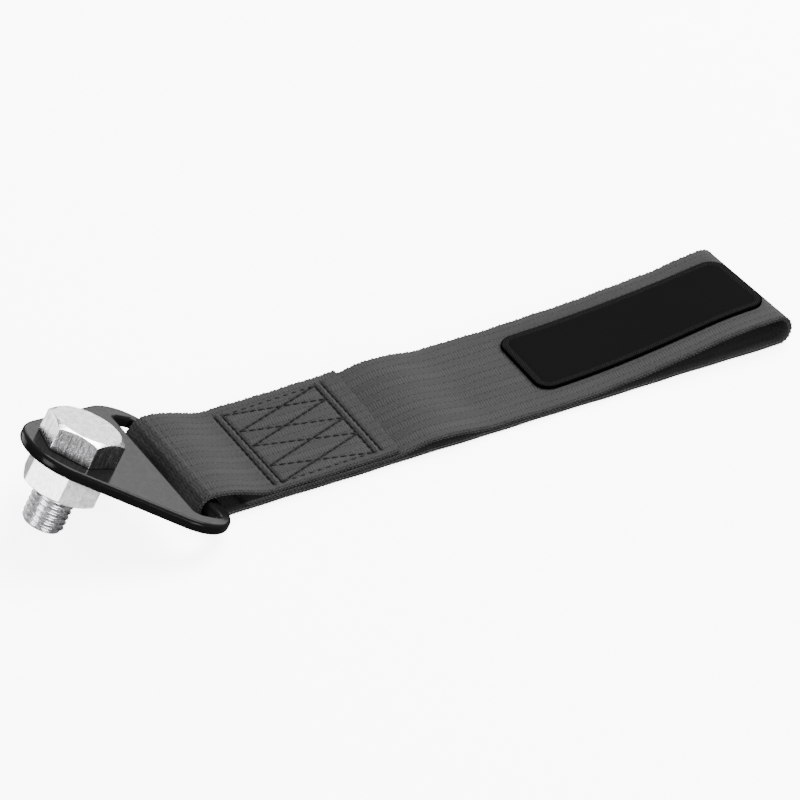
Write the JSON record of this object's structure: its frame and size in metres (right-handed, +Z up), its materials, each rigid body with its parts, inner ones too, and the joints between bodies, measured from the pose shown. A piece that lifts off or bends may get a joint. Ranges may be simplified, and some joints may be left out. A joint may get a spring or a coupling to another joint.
{
  "type": "tow strap",
  "caption": "Folded flat loop of webbing with a sewn box-and-zigzag block, joined to a slotted steel plate that carries a hex bolt and nut.",
  "frame": {"origin": "on the floor under the middle of the sewn block, at the webbing's underside", "axes": "+X along the strap from the plate to the far loop, +Y across the strap, +Z up"},
  "size_m": [0.2729, 0.0754, 0.0416],
  "materials": {
    "webbing": "woven polyester webbing, charcoal, herringbone twill with lengthwise bands",
    "patch": "smooth near-black patch with a sewn textured border",
    "plate_paint": "gloss black powder coat with rounded edges",
    "zinc": "bright zinc plating, satin"
  },
  "bodies": {
    "strap": {"webbing_strap": "webbing", "label_patch": "patch"},
    "plate": {"tow_plate": "plate_paint"},
    "bolt": {"hex_bolt": "zinc"},
    "nut": {"hex_nut": "zinc"}
  },
  "joints": [
    {"name": "plate_pivot", "type": "hinge", "parent": "strap", "child": "plate", "pos_m": [-0.0428, 0, 0.00519], "axis": [0, 1, 0], "range_deg": [-150, 115]},
    {"name": "bolt_turn", "type": "hinge", "parent": "plate", "child": "bolt", "pos_m": [-0.08069, -0.00365, 0.02804], "axis": [0.4772, 0, 0.8788], "range_deg": [0, 1440]},
    {"name": "nut_travel", "type": "slide", "parent": "plate", "child": "nut", "axis": [-0.4772, 0, -0.8788], "range_m": [0, 0.008]}
  ],
  "couplings": [
    {"joint": "nut_travel", "follows": "bolt_turn", "m_per_rad": 0.00031831}
  ]
}
